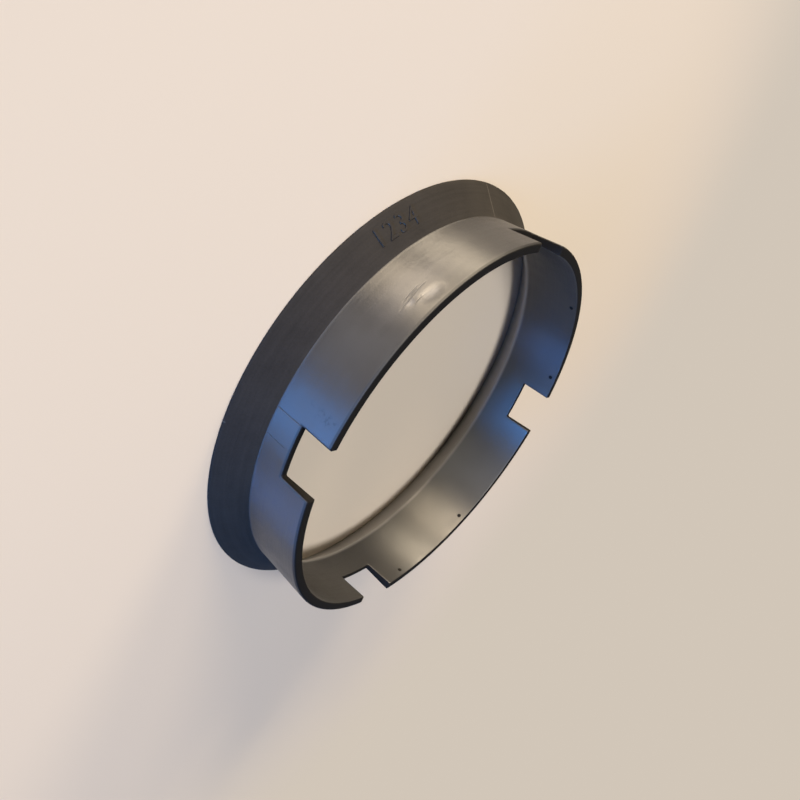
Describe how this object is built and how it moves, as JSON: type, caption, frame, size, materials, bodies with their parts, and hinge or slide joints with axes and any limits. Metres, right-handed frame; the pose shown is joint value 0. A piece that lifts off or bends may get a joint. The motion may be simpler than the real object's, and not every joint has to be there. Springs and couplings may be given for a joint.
{
  "type": "hub centric ring",
  "caption": "Thin moulded plastic ring with a flared conical flange and a slotted collar, which centres a wheel's bore on a smaller hub spigot.",
  "frame": {"origin": "centre of the flange's end face, on the ring's axis", "axes": "+Z along the ring's axis towards the slotted free end of the collar, +X through the middle of one slot"},
  "size_m": [0.0816, 0.0816, 0.0162],
  "materials": {
    "ring_plastic": "satin dark grey moulded plastic"
  },
  "bodies": {
    "root": {"centring_ring": "ring_plastic"}
  },
  "joints": []
}
